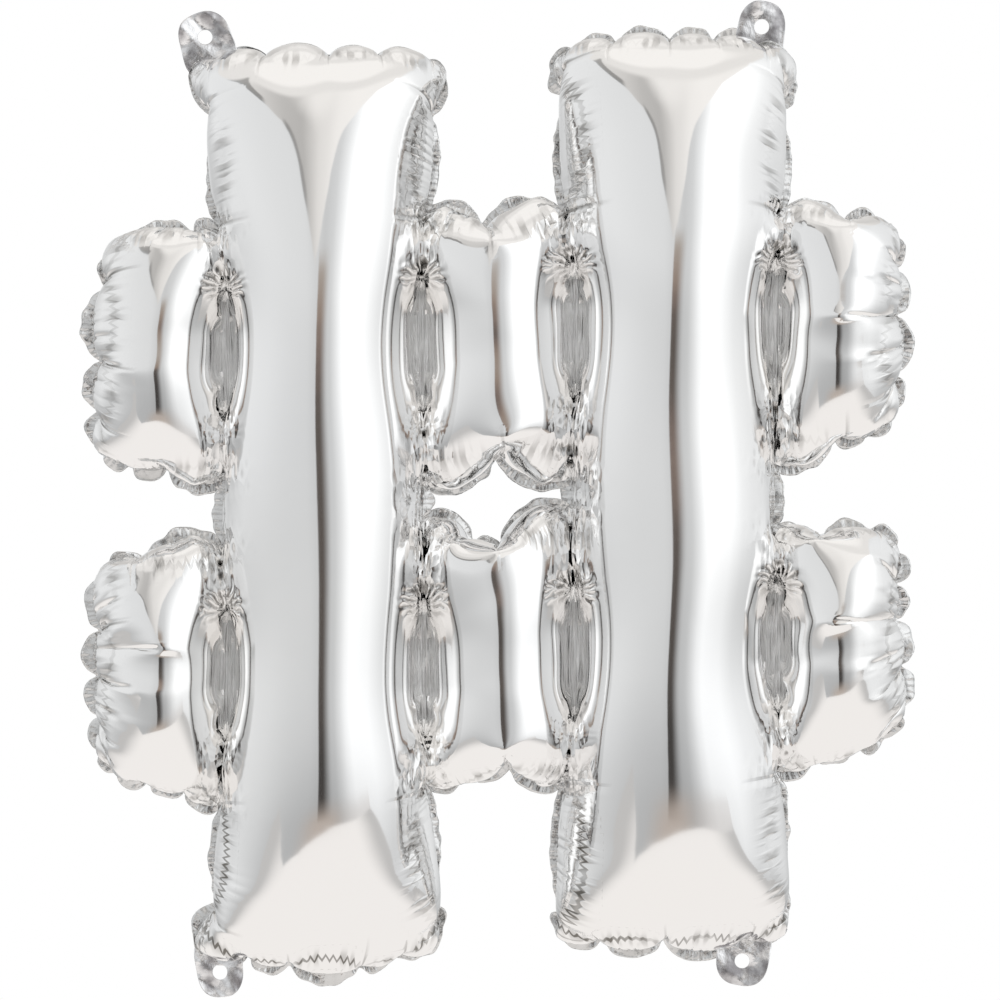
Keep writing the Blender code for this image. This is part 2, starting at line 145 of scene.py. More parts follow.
# Where each grid point lies on the flat film: grid lines slide to the cut's own widths; an upright's end narrows
# with the square of the way up and its corners drop with the 2.5th power of the way out; an arm's end is cut back
# at its corners with the cube of the height and slopes with the square of the way out.
def flatPlaces(x, z):
    c, f = cutLines, flatCut
    across, up = np.abs(x), np.abs(z)
    outer, stub = f["innerSide"] + f["uprightWide"], c["top"] - c["barEdge"]
    fx = np.interp(across, [0, c["innerSide"], c["outerSide"], c["armEnd"]], [0, f["innerSide"], outer, f["armEnd"]])
    fx += np.maximum(across - c["armEnd"], 0)
    centre = f["innerSide"] + f["uprightWide"] / 2
    rise = ((up - c["barEdge"]) / stub).clip(0, 1.1)
    fx = np.where(up > c["barEdge"], centre + (fx - centre) * (1 - f["topNarrowing"] * rise ** 2), fx)
    out = (np.abs(across - c["uprightMiddle"]) / c["uprightHalf"]).clip(0, 1.1)
    top = f["top"] - f["topCorners"] * out ** 2.5
    gap = np.interp(across, [c["innerSide"], c["outerSide"]], f["gapEdge"])
    share = ((up - c["gapEdge"]) / (c["barEdge"] - c["gapEdge"])).clip(0, None)
    low = np.where(up < c["gapEdge"], up / c["gapEdge"] * gap, gap + share * (f["barEdge"] - gap))
    fz = np.where(up <= c["barEdge"], low, f["barEdge"] + (top - f["barEdge"]) * (up - c["barEdge"]) / stub)
    along = ((across - c["outerSide"]) / (c["armEnd"] - c["outerSide"])).clip(0, 1)
    height = (up - c["barMiddle"]) / c["barHalf"]
    inBars = up < f["barsBelow"]
    fx = fx - f["armCorners"] * along * np.abs(height).clip(0, 1.1) ** 3
    fz = fz - np.where(inBars, f["armSlope"] * along ** 2 * height, 0)
    armFade, bridgeFade = f["slackFade"]
    clear = ((across - c["outerSide"]) / armFade).clip(0, 1) + ((c["innerSide"] - across) / bridgeFade).clip(0, 1)
    fz = fz + np.where(inBars & (up > c["gapEdge"] / 2), f["barSlack"] * clear * height.clip(-1, 1), 0)
    return np.stack([np.sign(x) * fx, np.sign(z) * fz], axis=-1)


# The even grid at one spacing: its points, which are film, which are welded flat, and where each lies flat. The
# film reaches past the seam by a narrow margin, and a lens weld is |across| + up squared <= 1 in its own half sizes.
def sheetGrid(step):
    x, z = np.meshgrid(np.arange(-232, 232 + step / 2, step), np.arange(-200, 200 + step / 2, step))
    flat = flatPlaces(x, z)
    film = hashShape(x, z, max(step, 4) + 0.1)
    welded = film & ~hashShape(x, z, -0.1)
    f = flatCut
    tall = ((np.abs(flat[..., 1]) - f["weldHeight"]) / f["weldHalfTall"]) ** 2
    for edge in (f["innerSide"], f["innerSide"] + f["uprightWide"]):
        welded |= film & (np.abs(np.abs(flat[..., 0]) - edge) / f["weldHalfWide"] + tall <= 1.0001)
    return {"step": step, "x": x, "z": z, "film": film, "welded": welded, "flat": flat}


# `pull` and `sidePull` draw the blown seam to its measured edge, `mostBulge` and `sideBulge` cap a scallop's height as
# a share of its width, and the gives say how weakly film resists being squeezed, compared with being stretched.
blowing = {
    "pull": 0.06, "sidePull": 0.012, "mostBulge": 0.2, "sideBulge": 0.06,
    "give": 0.012, "stubGive": 0.01, "shear": 0.6, "damp": 0.9,
}


# One straight run of the cut's edge: its two corners, the meeting points of its scallops and their shares.
def edgeRun(edge, k):
    corner, points = edge[k]
    following = edge[(k + 1) % len(edge)]
    meets = np.array(points + following[1][:1], float)
    chords = np.hypot(*np.diff(meets, axis=0).T)
    shares = np.concatenate([[0], np.cumsum(chords) / chords.sum()])
    return np.array(corner, float), np.array(following[0], float), meets, chords, shares


# Every run of both edges, and whether the film lies to its right, 1, or to its left, -1.
def allRuns():
    return [(edgeRun(edge, k), out) for edge, out in ((outerEdge, 1), (windowEdge, -1)) for k in range(len(edge))]


# Which part of the edge a run is: an arm's end, a side of an upright's free end, a side between two bars, the top or
# bottom of an upright, or a bar's edge.
def partOf(start, end):
    if start[0] != end[0]:
        return "top" if abs(start[1]) > cutLines["barEdge"] else "bar"
    if abs(start[0]) > cutLines["outerSide"]:
        return "end"
    return "side" if abs(start[1] + end[1]) > 2 * cutLines["barEdge"] else "gap"


# How far points are along a run, as a share, how far they lie to its right, and the run's length.
def besideRun(x, z, start, end):
    way = end - start
    long = np.abs(way).sum()
    rx, rz = x - start[0], z - start[1]
    return (rx * way[0] + rz * way[1]) / long ** 2, (rx * way[1] - rz * way[0]) / long, long


# Which scallop of a run the shares t of its length fall in, and how far along that scallop they are.
def scallopAt(t, shares):
    k = np.clip(np.searchsorted(shares, t, side="right") - 1, 0, len(shares) - 2)
    return k, (t - shares[k]) / (shares[k + 1] - shares[k])


# Places along a run at shares t of its length: each scallop goes straight between its meeting points and bulges
# sideways by a rounded parabola, as high as the film left over for it allows. The upright sides of the uprights' free
# ends and of the window bulge less. Also says how far up its bulge each place is.
def scallopPlaces(t, run, outward):
    start, end, meets, chords, shares = run
    k, u = scallopAt(t, shares)
    way = meets[k + 1] - meets[k]
    spare = np.maximum((shares[k + 1] - shares[k]) * np.abs(end - start).sum() / chords[k] - 1, 0)
    across, up = np.abs((meets[k] + meets[k + 1]) / 2).T
    side = (np.abs(way[:, 0]) < 0.9 * np.abs(way[:, 1])) & (across < 130) & ((up > 100) | (up < 20))
    cap = np.where(side, blowing["sideBulge"], blowing["mostBulge"])
    high = np.minimum(np.sqrt(0.375 * spare), cap) * chords[k]
    bulge = (4 * u * (1 - u)).clip(0) ** 0.8
    sideways = np.stack([-way[:, 1], way[:, 0]], axis=1) / chords[k, None] * outward
    return meets[k] + u[:, None] * way + (high * bulge)[:, None] * sideways, bulge


# The welded points that are drawn to measured places, those places, and how strongly each is drawn.
def seamPull(sheet):
    x, z = sheet["x"], sheet["z"]
    seam = hashShape(x, z, 0.1) & ~hashShape(x, z, -0.1)
    places = np.stack([x, z], axis=-1)
    strength = np.zeros(x.shape)
    for run, outward in allRuns():
        t, right, _ = besideRun(x, z, *run[:2])
        onRun = seam & (np.abs(right) < 0.01) & (t > -1e-6) & (t < 1 + 1e-6)
        places[onRun] = scallopPlaces(t[onRun].clip(0, 1), run, outward)[0]
        drawnBy = blowing["sidePull" if partOf(*run[:2]) == "side" else "pull"]
        strength[onRun] = np.maximum(strength[onRun], drawnBy)
    f = flatCut
    for (sideX, sideZ, outer), at in lensWelds:
        middle = (sideX * (f["innerSide"] + outer * f["uprightWide"]), sideZ * f["weldHeight"])
        off = sheet["flat"] - middle
        lens = sheet["welded"] & hashShape(x, z, -0.1) & (np.abs(off).max(axis=-1) <= f["weldHalfTall"] + 1)
        places[lens] = np.array(at) + off[lens] * f["weldGather"]
        strength[lens] = blowing["pull"]
    drawn = strength > 0
    return drawn, places[drawn].astype(np.float32), strength[drawn].astype(np.float32)


# Links between neighbouring points: along rows, along columns and along both diagonals, in groups where no point
# comes twice. Each link keeps the distance that its ends have on the flat film, and gives more weakly above the bars.
def filmLinks(sheet):
    film, flat = sheet["film"], sheet["flat"]
    tall, wide = film.shape
    whole, left, right = slice(None), slice(0, wide - 1), slice(1, wide)

    def couples(odd, count):
        n = 2 * ((count - odd) // 2)
        return slice(odd, odd + n - 1, 2), slice(odd + 1, odd + n, 2)

    pairs, slanted = [], []
    for odd in (0, 1):
        first, second = couples(odd, wide)
        pairs.append(((whole, first), (whole, second), 1.0))
        first, second = couples(odd, tall)
        pairs.append(((first, whole), (second, whole), 1.0))
        slanted.append(((first, left), (second, right), blowing["shear"]))
        slanted.append(((first, right), (second, left), blowing["shear"]))
    give = np.where(np.abs(sheet["z"]) > cutLines["barEdge"] + 6, blowing["stubGive"], blowing["give"])
    links = []
    for a, b, stiff in pairs + slanted:
        rest = np.hypot(*np.moveaxis(flat[a] - flat[b], -1, 0)).astype(np.float32)
        share = ((film[a] & film[b]) * 0.5 * stiff).astype(np.float32)
        links.append((a, b, share, rest, ((give[a] + give[b]) / 2).astype(np.float32)))
    return links


# Blows the front sheet up: each round pushes every cell along its own normal by its area times the pressure, keeps
# most of the speed it had, and then brings every link back to its flat length, fully where stretched and weakly where
# squeezed, with the welded points held in the seam's plane.
def blowUp(sheet, places, rounds, settling, pressure, pull=None):
    film, welded = sheet["film"], sheet["welded"]
    places = places.copy()
    links = filmLinks(sheet)
    corners = [np.s_[1:, 1:], np.s_[:-1, :-1], np.s_[1:, :-1], np.s_[:-1, 1:]]
    cells = np.logical_and.reduce([film[c] for c in corners]) & ~np.logical_and.reduce([welded[c] for c in corners])
    push = (cells * (0.125 * pressure / sheet["step"] ** 2)).astype(np.float32)[..., None]
    moving = film[..., None].astype(np.float32)
    speed = np.zeros_like(places)
    for _ in range(rounds):
        force = np.cross(places[1:, 1:] - places[:-1, :-1], places[1:, :-1] - places[:-1, 1:]) * push
        speed *= blowing["damp"]
        for c in corners:
            speed[c] += force
        speed[welded, 1] = 0
        before = places.copy()
        places += speed
        for _ in range(settling):
            for a, b, share, rest, give in links:
                first, second = places[a], places[b]
                gap = second - first
                long = np.sqrt(np.einsum("...k,...k->...", gap, gap)) + np.float32(1e-9)
                off = 1 - rest / long
                off = np.where(off < 0, off * give, off) * share
                gap *= off[..., None]
                first += gap
                second -= gap
            np.minimum(places[..., 1], 0, out=places[..., 1])
            places[welded, 1] = 0
            if pull is not None:
                drawn, aims, strength = pull
                places[drawn, 0] += strength * (aims[:, 0] - places[drawn, 0])
                places[drawn, 2] += strength * (aims[:, 1] - places[drawn, 2])
        speed = (places - before) * moving
    return places


# Values of a sheet's grid read at any x and z by straight lines between its points.
def sampleAt(values, sheet, x, z):
    step = sheet["step"]
    fx, fz = (x - sheet["x"][0, 0]) / step, (z - sheet["z"][0, 0]) / step
    ix = np.clip(np.floor(fx + 1e-6).astype(int), 0, values.shape[1] - 2)
    iz = np.clip(np.floor(fz + 1e-6).astype(int), 0, values.shape[0] - 2)
    tx, tz = (fx - ix)[..., None], (fz - iz)[..., None]
    lower = (1 - tx) * values[iz, ix] + tx * values[iz, ix + 1]
    upper = (1 - tx) * values[iz + 1, ix] + tx * values[iz + 1, ix + 1]
    return ((1 - tz) * lower + tz * upper).astype(np.float32)


# Each stage: grid spacing, whether the seam is drawn to its measured edge, then rounds, settling and pressure.
stages = [
    (8.0, False, 60, 10, 1.0), (8.0, False, 80, 20, 0.1),
    (4.0, False, 60, 16, 0.1), (4.0, False, 60, 20, 0.02),
    (4.0, True, 50, 12, 0.06), (4.0, True, 40, 12, 0.03),
    (2.0, True, 50, 12, 0.03), (2.0, True, 40, 16, 0.015),
    (4 / 3, True, 50, 14, 0.012),
]


# Blows the sheet up from flat on ever finer grids, each starting from the coarser one.
def blownSheet():
    sheet = places = None
    for step, drawn, rounds, settling, pressure in stages:
        if sheet is None or sheet["step"] != step:
            coarse, sheet = sheet, sheetGrid(step)
            if coarse is None:
                flat = sheet["flat"]
                places = np.stack([flat[..., 0], np.zeros(flat.shape[:2]), flat[..., 1]], axis=-1).astype(np.float32)
                places[sheet["film"] & ~sheet["welded"], 1] = -1
            else:
                places = sampleAt(places, coarse, sheet["x"], sheet["z"])
                places[sheet["welded"], 1] = 0
        places = blowUp(sheet, places, rounds, settling, pressure, seamPull(sheet) if drawn else None)
    return sheet, places


sheet, places = blownSheet()
blown = places[sheet["film"]]
print("blown: wide %.1f deep %.1f tall %.1f mm" % (np.ptp(blown[:, 0]), 2 * -blown[:, 1].min(), np.ptp(blown[:, 2])))


# Puts points in millimetres and faces into a new piece, smooth, riding on the root body.
def meshPiece(name, points, faces, material, slot, nodes, maps=None):
    mesh = bpy.data.meshes.new(name)
    points = np.asarray(points, np.float64) + (0, 0, placing["drop"])
    mesh.from_pydata((points * placing["toMetres"]).tolist(), [], np.asarray(faces).tolist())
    for mapName, values in (maps or {}).items():
        layer = mesh.uv_layers.new(name=mapName)
        corner = np.empty(len(mesh.loops), np.int32)
        mesh.loops.foreach_get("vertex_index", corner)
        layer.data.foreach_set("uv", np.asarray(values, np.float32)[corner].ravel())
    mesh.shade_smooth()
    mesh.materials.append(material)
    piece = bpy.data.objects.new(name, mesh)
    scene.collection.objects.link(piece)
    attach(piece, "root")
    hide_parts(*nodes)


# A shader socket that takes part in Python sums: each operator adds one Math node.
class Value:
    def __init__(self, tree, socket):
        self.tree, self.socket = tree, socket

    def maths(self, operation, other=0.0, flipped=False):
        node = self.tree.nodes.new("ShaderNodeMath")
        node.operation = operation
        for slot, item in enumerate((other, self) if flipped else (self, other)):
            if isinstance(item, Value):
                self.tree.links.new(item.socket, node.inputs[slot])
            else:
                node.inputs[slot].default_value = item
        return Value(self.tree, node.outputs[0])

    def __add__(self, other): return self.maths("ADD", other)
    def __radd__(self, other): return self.maths("ADD", other, True)
    def __sub__(self, other): return self.maths("SUBTRACT", other)
    def __rsub__(self, other): return self.maths("SUBTRACT", other, True)
    def __mul__(self, other): return self.maths("MULTIPLY", other)
    def __rmul__(self, other): return self.maths("MULTIPLY", other, True)
    def __pow__(self, other): return self.maths("POWER", other)
    def __abs__(self): return self.maths("ABSOLUTE")


# The node tree of a material or world, with one method that makes any node. The rest put its usual groups together.
class Finish:
    def __init__(self, owner, kind="ShaderNodeOutputMaterial"):
        owner.use_nodes = True
        self.owner, self.tree = owner, owner.node_tree
        self.tree.nodes.clear()
        self.out = self.tree.nodes.new(kind)

    def node(self, kind, settings=None, **inputs):
        made = self.tree.nodes.new(kind)
        for key, setting in (settings or {}).items():
            if key == "stops":
                ramp = made.color_ramp
                for k, (place, colour) in enumerate(setting):
                    stop = ramp.elements[k] if k < 2 else ramp.elements.new(place)
                    stop.position, stop.color = place, colour
            else:
                setattr(made, key, setting)
        for key, item in inputs.items():  # i3 is socket number 3, and From_Min the one named From Min
            numbered = key[0] == "i" and key[1:].isdigit()
            socket = made.inputs[int(key[1:]) if numbered else key.replace("_", " ")]
            if isinstance(item, Value):
                self.tree.links.new(item.socket, socket)
            elif isinstance(item, bpy.types.NodeSocket):
                self.tree.links.new(item, socket)
            else:
                socket.default_value = item
        return made

    def value(self, socket):
        return Value(self.tree, socket)

    def where(self):
        return self.node("ShaderNodeTexCoord").outputs["Object"]

    def parts(self, vector):
        return [self.value(part) for part in self.node("ShaderNodeSeparateXYZ", None, Vector=vector).outputs]

    def pair(self, layer):
        return self.parts(self.node("ShaderNodeUVMap", {"uv_map": layer}).outputs[0])[:2]

    def noise(self, vector, scale, detail=2.0, rough=0.5):
        made = self.node("ShaderNodeTexNoise", None, Vector=vector, Scale=scale, Detail=detail, Roughness=rough)
        return self.value(made.outputs["Fac"])

    def step(self, value, low, high):
        smooth = {"interpolation_type": "SMOOTHSTEP"}
        return self.value(self.node("ShaderNodeMapRange", smooth, Value=value, From_Min=low, From_Max=high).outputs[0])

    def blend(self, share, first, second):
        return self.node("ShaderNodeMix", {"data_type": "RGBA"}, i0=share, i6=first, i7=second).outputs[2]

    def metal(self, tint, rough, height, bump):
        dents = self.node("ShaderNodeBump", None, Strength=bump[0], Distance=bump[1], Height=height)
        return self.close(self.node("ShaderNodeBsdfPrincipled", None, Base_Color=tint, Metallic=1.0, Roughness=rough,
                                    Normal=dents.outputs[0]))

    def glow(self, colour):
        return self.node("ShaderNodeEmission", None, Color=colour, Strength=1.0)

    def glowWhere(self, shade, colour):
        clear = self.node("ShaderNodeBsdfTransparent").outputs[0]
        return self.close(self.node("ShaderNodeMixShader", None, i0=shade, i1=clear, i2=self.glow(colour).outputs[0]))

    def close(self, shader):
        self.tree.links.new(shader.outputs[0], self.out.inputs[0])
        return self.owner


def newFinish(name):
    return Finish(bpy.data.materials.new(name))


film = {
    # paintedCreaseShade: the colour of shade painted into creases and folds; each ...Dark below is how much a mark
    # gets.
    "colour": (0.93, 0.93, 0.935, 1), "warm": (0.93, 0.925, 0.915, 1), "paintedCreaseShade": (0.2, 0.19, 0.175, 1),
    "rough": 0.04, "roughSpread": 0.05, "driftScale": 14.0, "bump": (1.0, 0.001),
    "creaseScale": 90.0, "creaseDepth": 0.02,  # shallow creases everywhere
    "lineWide": (0.03, 0.16), "lineDark": 0.68,  # the line where two scallops meet
    "valleyWide": 0.45, "valleyDepth": 0.35,  # and the valley round it
    "tickEvery": 3.6, "tickLong": 0.4, "tickEdge": (0.46, 0.64), "tickDepth": 0.16, "tickDark": 0.42,
    "fanFolds": 13, "fanWander": 16.0, "fanDepth": 0.24, "fanDark": 0.85,
    "crumpleScale": 260.0, "crumpleTall": 0.55, "crumpleDepth": 1.2, "crushDark": 0.75,
    "zigzagEvery": 3.1, "zigzagWander": 1.6, "zigzagWide": 0.32, "zigzagLine": (0.03, 0.075), "zigzagDepth": 0.12,
    "zigzagDark": 0.9,
}


# Bright metallised film: near mirror, with a slow drift in tint and gloss and shallow creases. The marks that its maps
# place each bump it and darken its tint with painted shade: the line where two scallops meet, at the turn nought;
# ticks, a noise drawn out across the pillows' rims; fans, a sine of the angle round a lens tip; crushed cells; and
# zigzag creases, where the distance from a pillow's rim plus a triangle wave along it is near nought.
def filmFinish():
    f, m = film, newFinish("filmMirror")
    where = m.where()
    drift = m.noise(where, f["driftScale"], 1.0)
    crease = m.noise(where, f["creaseScale"], 1.0)
    (run, rim), (fan, fanned), (crush, _) = m.pair("ticks"), m.pair("fans"), m.pair("crushed")
    (across, aside), (off, dark) = m.pair("meeting"), m.pair("creases")
    strength = (across * across + aside * aside) ** 0.5
    turned = abs(aside.maths("ARCTAN2", across))
    line = (1.0 - m.step(turned, *f["lineWide"])) * strength
    valley = (1.0 - m.step(turned, 0.0, f["valleyWide"])) * strength
    drawn = m.node("ShaderNodeCombineXYZ", None, X=run * f["tickEvery"], Y=rim * f["tickLong"]).outputs[0]
    tick = m.step(m.noise(drawn, 1.0, 0.0), *f["tickEdge"]) * rim
    wave = (run * (10 / f["zigzagEvery"]) + f["zigzagWander"] * drift).maths("PINGPONG", 0.5)
    off = off + (wave - 0.25) * f["zigzagWide"] * (0.25 + m.step(crease, 0.36, 0.62)) + 0.3 * (crease - 0.5)
    broken = 0.35 + 0.65 * m.step(drift + crease, 0.8, 1.1)
    zigzags = (1.0 - m.step(abs(off), *f["zigzagLine"])) * dark * broken
    fold = (fan * (math.pi * f["fanFolds"]) + f["fanWander"] * crease).maths("SINE")
    drawn = m.node("ShaderNodeMapping", None, Vector=where, Scale=(1.0, 1.0, f["crumpleTall"])).outputs[0]
    cells = m.node("ShaderNodeTexVoronoi", {"feature": "F1"}, Vector=drawn, Scale=f["crumpleScale"], Randomness=1.0)
    cell = m.value(cells.outputs["Distance"])
    height = crease * f["creaseDepth"] + tick * f["tickDepth"] + fold * fanned * f["fanDepth"]
    height = height + cell * crush * f["crumpleDepth"] - valley * f["valleyDepth"] - f["zigzagDepth"] * zigzags
    # Painted shade: the tint darkens along fold lines, ticks, fan folds, crushed cells and zigzag creases.
    paintedCreaseShade = line * f["lineDark"] + tick * f["tickDark"] + m.step(fold, 0.2, -0.9) * fanned * f["fanDark"]
    paintedCreaseShade = paintedCreaseShade + m.step(cell, 0.35, 0.1) * crush * f["crushDark"] + zigzags * f["zigzagDark"]
    tint = m.blend(paintedCreaseShade, m.blend(drift, f["colour"], f["warm"]), f["paintedCreaseShade"])
    return m.metal(tint, f["rough"] + f["roughSpread"] * drift, height, f["bump"])


# The dull finishes: metal whose tint and gloss go from bright to dark by one noise, over the dents of another. A noise
# is its scale, detail and roughness, `stretch` squeezes both, and `edge` sharpens the first. The margin is clouded by
# its seal, the welds are brushed along their length, and the hanging tabs are satin, with a sharp dark and light
# mottling that is a painted reflection of crumpled film.
dullFoil = {
    "marginCrinkle": {
        "colour": (0.9, 0.9, 0.905, 1), "dark": (0.5, 0.5, 0.49, 1), "rough": 0.07, "roughSpread": 0.2,
        "stretch": (1, 1, 1), "cloud": (160.0, 3.0, 0.5), "dents": (420.0, 2.0, 0.5), "bump": (0.6, 0.0004),
    },
    "weldBrushed": {
        "colour": (0.95, 0.95, 0.95, 1), "dark": (0.66, 0.66, 0.65, 1), "rough": 0.22, "roughSpread": 0.3,
        "stretch": (900.0, 300.0, 120.0), "cloud": (1.0, 4.0, 0.6), "dents": (1.0, 4.0, 0.6), "bump": (0.8, 0.0005),
    },
    # The tabs' sharp dark and light mottling is a painted reflection of crumpled satin film.
    "tabSatinPaintedReflection": {
        "colour": (0.9, 0.9, 0.91, 1), "dark": (0.3, 0.29, 0.3, 1), "rough": 0.2, "roughSpread": 0.12,
        "stretch": (1, 1, 1), "cloud": (105.0, 3.0, 0.5), "edge": (0.38, 0.68), "dents": (330.0, 3.0, 0.5),
        "bump": (0.7, 0.0006),
    },
}


def dullFinish(name):
    d, m = dullFoil[name], newFinish(name)
    where = m.node("ShaderNodeMapping", None, Vector=m.where(), Scale=d["stretch"]).outputs[0]
    cloud, dents = m.noise(where, *d["cloud"]), m.noise(where, *d["dents"])
    if "edge" in d:
        cloud = m.step(cloud, *d["edge"])
    return m.metal(m.blend(cloud, d["colour"], d["dark"]), d["rough"] + d["roughSpread"] * cloud, dents, d["bump"])


filmMaterial = filmFinish()
marginMaterial, weldMaterial, tabMaterial = (dullFinish(name) for name in dullFoil)


sheetCut = {"gap": 0.04}
# Each scallop of the edge carries a low pillow. By the part of the edge: its reach inwards as a share of its width,
# its longest reach, its height and its groove's depth as shares of its reach, and how strong its creases are, in bump
# and in painted shade.
pillow = {
    "end": (0.85, 17.0, 0.13, 0.1, 1.35),
    "top": (0.78, 17.0, 0.13, 0.04, 0.85),
    "bar": (0.55, 17.0, 0.13, 0.04, 1.0),
    "gap": (0.3, 17.0, 0.13, 0.04, 0.0),
    "side": (0.52, 23.0, 0.085, 0.04, 1.0),
}
# What they share: how square they are, how softly they rise from the seam, the grooves' width and length, where the
# inner rim lies and how wide it wrinkles, and the crushed strip along an upright's free sides.
pillowForm = {
    "square": 2.4, "soft": 2.5, "grooveWide": 2.4, "grooveLong": 1.15, "rim": 0.92, "rimWide": 0.2,
    "crush": 0.6, "crushAt": 3.0, "crushWide": 2.5,
}
# How much painted shade darkens the zigzag crease along a pillow's inner rim, below the middle and above it: by the
# part of the edge, and for the uprights' free sides by the grid line that they lie on.
zigzag = {"top": (0.85, 0.05), "end": (0.3, 0.22), "bar": (0.25, 0.1), "gap": (0.0, 0.0),
          -160: (0.85, 0.08), -40: (0.3, 0.4), 40: (0.8, 0.45), 160: (0.2, 0.06)}


# What the scallops do to the film: pillow heights; ticks, the way along the edge and how near a pillow's inner rim;
# meeting, the turn 2 pi u, which is nought where two scallops meet; how crushed the film is; and creases, how far past
# the rim and how much painted shade darkens a zigzag. Height: high * reach * (1 - q), q = |2u - 1|^r + (deep /
# reach)^r, with u the share of the scallop's width and deep the way in, less a groove at the meeting line; it fades to
# nothing at the seam.
def pillows(sheet):
    x, z, form = sheet["x"], sheet["z"], pillowForm
    inside = hashShape(x, z, 0.1)
    high, along, rim, crush, line = (np.zeros(x.shape) for _ in range(5))
    meeting, crease = np.zeros(x.shape + (2,)), np.zeros(x.shape + (2,))
    for (start, end, _, chords, shares), outward in allRuns():
        part = partOf(start, end)
        reachShare, longest, tall, groove, creased = pillow[part]
        t, right, long = besideRun(x, z, start, end)
        deep = right * outward
        near = inside & (t >= 0) & (t <= 1) & (deep >= 0)
        if part == "side":
            strip = np.exp(-((deep - form["crushAt"]) / form["crushWide"]) ** 2)
            crush = np.where(near, np.maximum(crush, form["crush"] * strip * (t * (1 - t) * 8).clip(0, 1)), crush)
        k, u = scallopAt(t, shares)
        aside = np.abs(2 * u - 1)
        reach = np.minimum(reachShare * chords, longest)[k]
        q = aside ** form["square"] + (deep / reach).clip(0) ** form["square"]
        past = q ** (1 / form["square"]) - form["rim"]
        toMeet = np.minimum(u, 1 - u) * (shares[k + 1] - shares[k]) * long
        inner = (1 - (deep / reach / form["grooveLong"]) ** 2).clip(0)
        rise = tall * reach * (1 - q).clip(0)
        rise = rise - groove * reach * inner * np.exp(-toMeet / form["grooveWide"])
        rise = rise * (1 - np.exp(-deep.clip(0) / form["soft"]))
        high = np.where(near & (np.abs(rise) > np.abs(high)), rise, high)
        strong = ((1.5 - deep / reach) / 0.8).clip(0, 1) * creased
        better = near & (strong > line)
        line = np.where(better, strong, line)
        turned = strong[..., None] * np.stack([np.cos(2 * np.pi * u), np.sin(2 * np.pi * u)], axis=-1)
        meeting = np.where(better[..., None], turned, meeting)
        nearRim = np.exp(-(past / form["rimWide"]) ** 2) * (1 - aside ** 4)
        better = near & (nearRim > rim)
        along, rim = np.where(better, t * long, along), np.where(better, nearRim, rim)
        # How much painted shade this zigzag crease gets, below the middle and above it.
        below, above = zigzag[int(start[0]) if part == "side" else part]
        dark = np.where(z > 0, above, below) * (nearRim > 0.02) * (1 - aside ** 6)
        crease = np.where((better & (dark > 0))[..., None], np.stack([past, dark], axis=-1), crease)
    return high, np.stack([along / 10, rim], axis=-1), meeting, crush, crease


taut = {"bell": 14.0, "reach": 36.0, "wide": 50.0, "wideFade": 16.0, "tall": 150.0, "tallFade": 30.0}


# The uprights' middles pulled straight upwards, as the taut film is: an average along each column with a bell, at full
# strength in the middle of an upright and fading out towards its edges and its ends.
def steadied():
    across, up = np.abs(sheet["x"]), np.abs(sheet["z"])
    reach = np.arange(-taut["reach"], taut["reach"] + 0.1, sheet["step"])
    bell = np.exp(-0.5 * (reach / taut["bell"]) ** 2)
    bell /= bell.sum()
    even = sum(share * np.roll(places, k - len(bell) // 2, axis=0) for k, share in enumerate(bell))
    wide = ((taut["wide"] - np.abs(across - cutLines["uprightMiddle"])) / taut["wideFade"]).clip(0, 1)
    weight = wide * ((taut["tall"] - up) / taut["tallFade"]).clip(0, 1)
    weight = weight ** 2 * (3 - 2 * weight)
    return places + weight[..., None] * (even - places)


# Points and faces of the front sheet inside its seam, with the pillows raised along the film's own normal and without
# the cells that lie wholly inside a lens weld, which the welds' own pieces fill.
def sheetMesh():
    places = steadied()
    inside = hashShape(sheet["x"], sheet["z"], 0.1)
    high, ticks, meeting, crush, crease = pillows(sheet)
    normal = np.cross(np.gradient(places, axis=1), np.gradient(places, axis=0))
    normal /= np.linalg.norm(normal, axis=-1, keepdims=True) + 1e-9
    shown = places + normal * (high * ~sheet["welded"])[..., None]
    shown[..., 1] = np.minimum(shown[..., 1], 0)
    corners = [np.s_[:-1, :-1], np.s_[:-1, 1:], np.s_[1:, 1:], np.s_[1:, :-1]]
    welded = np.logical_and.reduce([sheet["welded"][c] for c in corners])
    cells = np.logical_and.reduce([inside[c] for c in corners]) & ~welded
    used = np.zeros(inside.shape, bool)
    for c in corners:
        used[c] |= cells
    number = np.full(inside.shape, -1)
    number[used] = np.arange(used.sum())
    faces = np.stack([number[c][cells] for c in corners], axis=1)
    return shown, used, faces, {"ticks": ticks[used], "meeting": meeting[used], "creases": crease[used]}, crush[used]


# Where a lens weld lies on the even grid: across, up, and how much taller the grid is there than the film.
def weldPlace(sideX, outer):
    c, f = cutLines, flatCut
    gap = f["gapEdge"][outer]
    perTall = (c["barEdge"] - c["gapEdge"]) / (f["barEdge"] - gap)
    return sideX * c["outerSide" if outer else "innerSide"], c["gapEdge"] + (f["weldHeight"] - gap) * perTall, perTall


crumple = {
    "line": 3.6, "corner": 7.0, "cornerShare": 0.8, "tip": 5.5, "lowerTip": 0.5,
    "fan": 2.7, "fanReach": 5.6, "fanDrop": 3.0, "fanTurn": 0.8, "lowerFan": 0.12,
}


